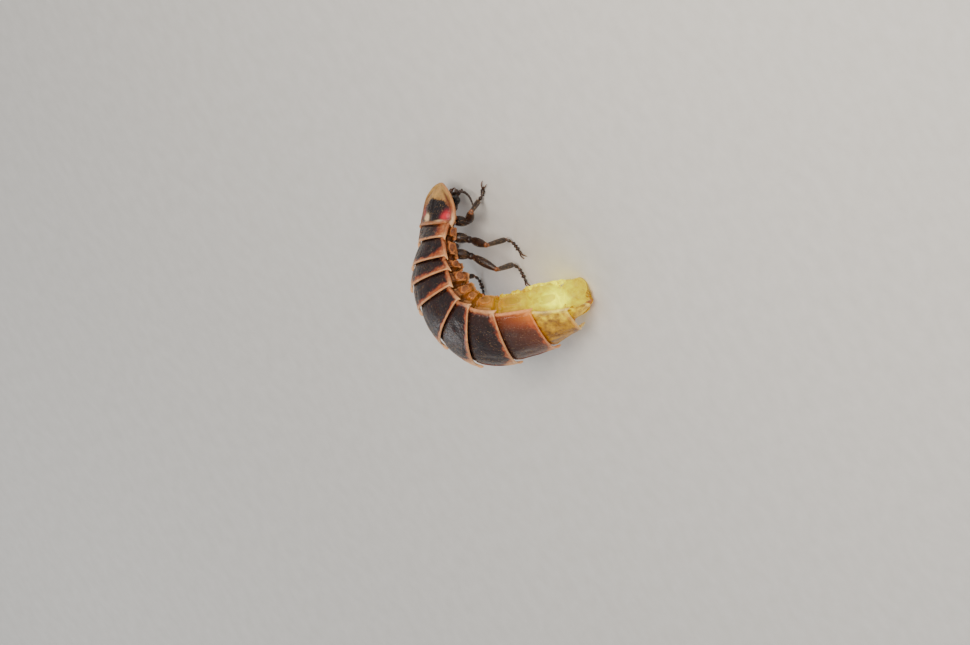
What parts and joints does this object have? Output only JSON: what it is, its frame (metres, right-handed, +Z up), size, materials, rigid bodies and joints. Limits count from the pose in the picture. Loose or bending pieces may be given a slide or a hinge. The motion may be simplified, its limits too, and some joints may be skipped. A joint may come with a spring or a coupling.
{
  "type": "common glow-worm",
  "caption": "Life-size still model of a wingless female glow-worm, a firefly-family beetle, with an arched plated body, shield over the head, six legs and a lit yellow-green tail.",
  "frame": {"origin": "centre of the bounding box in plan, at floor level", "axes": "+X the way the thorax faces, +Y to the animal's left, +Z up from the floor"},
  "size_m": [0.0132, 0.0136, 0.0074],
  "materials": {
    "back_plate": "dark brown horny plates, finely grained and glossy, with pale orange-tan hind edges",
    "soft_skin": "soft orange-tan folded membrane of the flanks and belly, slightly moist",
    "shield": "translucent tan shield with a dark middle and two pink patches at the back",
    "horn": "dark brown hard cuticle of head, feelers and legs",
    "eye": "black finely faceted dome",
    "lantern": "milky yellow-green light organ, lit from within"
  },
  "bodies": {
    "root": {"abdomen_1": "back_plate", "abdomen_2": "back_plate", "abdomen_3": "back_plate", "abdomen_4": "back_plate", "abdomen_5": "back_plate", "mesothorax": "back_plate", "metathorax": "back_plate", "abdomen_6": "lantern", "abdomen_7": "lantern", "abdomen_8": "lantern", "pronotum": "shield", "head": "horn", "eye_left": "eye", "eye_right": "eye", "antenna_left": "horn", "antenna_right": "horn", "leg_fore_left": "horn", "leg_mid_left": "horn", "leg_hind_left": "horn", "leg_fore_right": "horn", "leg_mid_right": "horn", "leg_hind_right": "horn"}
  },
  "joints": []
}
